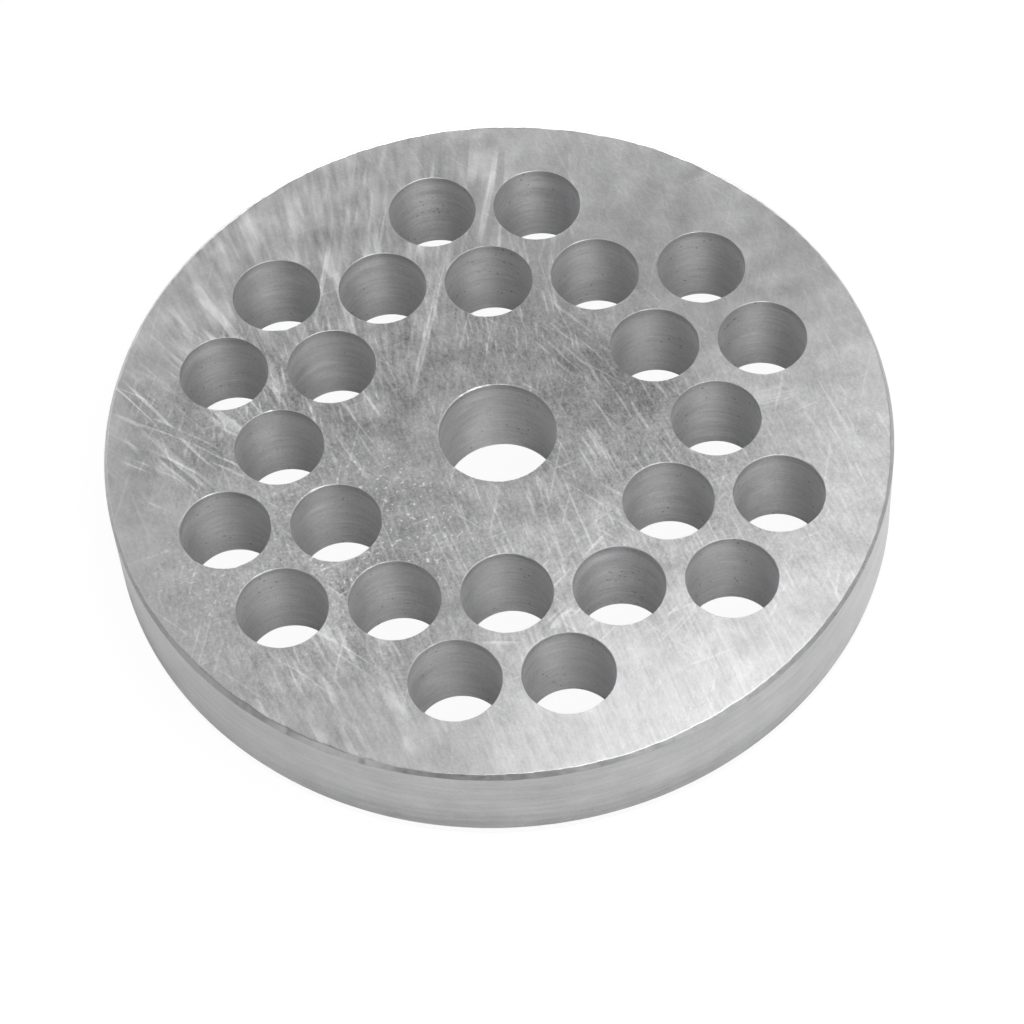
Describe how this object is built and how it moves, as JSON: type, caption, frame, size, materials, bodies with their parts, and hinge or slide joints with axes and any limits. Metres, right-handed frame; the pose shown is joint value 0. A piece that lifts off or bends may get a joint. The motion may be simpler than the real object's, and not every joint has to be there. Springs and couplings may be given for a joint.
{
  "type": "meat grinder plate",
  "caption": "Round steel meat grinder plate with a central stud bore and a hexagonal field of round through-holes that the minced meat is pushed out of.",
  "frame": {"origin": "centre of the underside, on the bore's axis", "axes": "+Z along the bore, from the seat face up to the cutting face; X along a row of holes"},
  "size_m": [0.07, 0.07, 0.0095],
  "materials": {
    "plate_steel": "surface-ground flat faces with fine use scratches, drilled hole walls, turned rim"
  },
  "bodies": {
    "root": {"grinder_plate": "plate_steel"}
  },
  "joints": []
}
